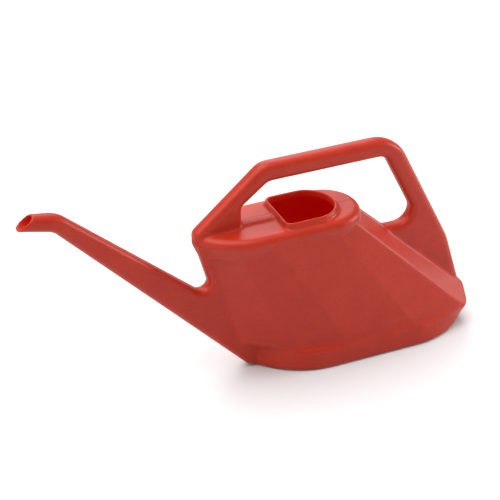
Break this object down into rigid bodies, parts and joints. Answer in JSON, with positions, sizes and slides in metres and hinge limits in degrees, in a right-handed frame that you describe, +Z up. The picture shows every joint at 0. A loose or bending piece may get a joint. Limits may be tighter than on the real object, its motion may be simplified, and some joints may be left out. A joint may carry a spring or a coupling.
{
  "type": "watering can",
  "caption": "Hollow moulded watering can with a faceted reservoir, a D-shaped filler mouth, an arched carrying handle and a long slim spout with a bent tip.",
  "frame": {"origin": "on the ground, on the parting plane, halfway between the spout's lip and the heel", "axes": "+X from the spout's tip towards the heel, +Y across the can, +Z up"},
  "size_m": [0.4854, 0.086, 0.2355],
  "materials": {
    "red_plastic": "satin, self-coloured polyethylene"
  },
  "bodies": {
    "root": {"base_pan": "red_plastic", "left_wall": "red_plastic", "right_wall": "red_plastic", "rear_ramp": "red_plastic", "top_deck": "red_plastic", "filler_collar": "red_plastic", "front_keel": "red_plastic", "handle_front": "red_plastic", "handle_grip": "red_plastic", "handle_rear": "red_plastic", "spout_root": "red_plastic", "spout_neck": "red_plastic", "spout_tip": "red_plastic"}
  },
  "joints": []
}
